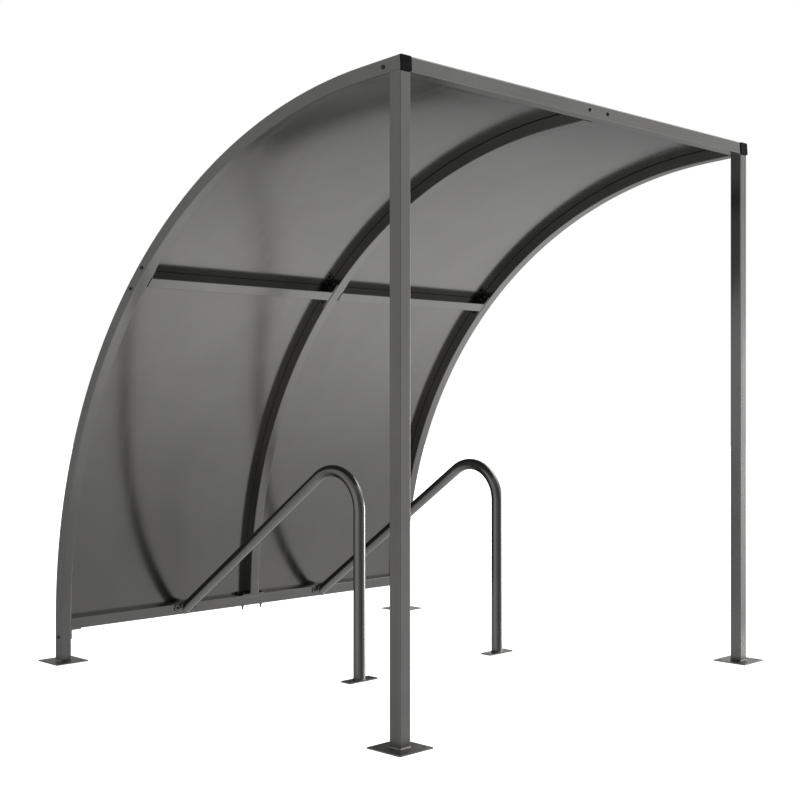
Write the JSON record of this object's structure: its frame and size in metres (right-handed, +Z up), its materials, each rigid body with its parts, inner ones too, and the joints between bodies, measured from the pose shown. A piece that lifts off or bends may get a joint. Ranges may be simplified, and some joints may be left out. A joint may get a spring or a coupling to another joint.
{
  "type": "bike shelter",
  "caption": "Open steel bike shelter: square-tube posts and quarter-round arches carry curved wall and roof sheets over bent-tube hoops for locking bikes.",
  "frame": {"origin": "on the floor, midway between the four base plates", "axes": "+X to the right along the open front, +Y from the front to the curved rear, +Z up"},
  "size_m": [2.285, 2.273, 2.2998],
  "materials": {
    "frame_paint": "satin",
    "sheet_paint": "satin",
    "bolt_steel": "satin",
    "cap_plastic": "matte"
  },
  "bodies": {
    "root": {"bottom_rail": "frame_paint", "bottom_rail_left_flange": "frame_paint", "bottom_rail_right_flange": "frame_paint", "front_rail": "frame_paint", "front_rail_left_flange": "frame_paint", "front_rail_right_flange": "frame_paint", "left_arch": "frame_paint", "left_arch_base_plate": "frame_paint", "left_arch_end_cap": "cap_plastic", "left_hoop": "frame_paint", "left_hoop_foot_plate": "frame_paint", "left_hoop_wall_plate": "frame_paint", "left_mid_rail": "frame_paint", "left_mid_rail_left_flange": "frame_paint", "left_mid_rail_right_flange": "frame_paint", "left_post": "frame_paint", "left_post_base_plate": "frame_paint", "lower_left_sheet": "sheet_paint", "lower_right_sheet": "sheet_paint", "middle_arch": "frame_paint", "middle_arch_foot_flange": "frame_paint", "middle_arch_head_flange": "frame_paint", "right_arch": "frame_paint", "right_arch_base_plate": "frame_paint", "right_arch_end_cap": "cap_plastic", "right_hoop": "frame_paint", "right_hoop_foot_plate": "frame_paint", "right_hoop_wall_plate": "frame_paint", "right_mid_rail": "frame_paint", "right_mid_rail_left_flange": "frame_paint", "right_mid_rail_right_flange": "frame_paint", "right_post": "frame_paint", "right_post_base_plate": "frame_paint", "upper_left_sheet": "sheet_paint", "upper_right_sheet": "sheet_paint"}
  },
  "joints": []
}
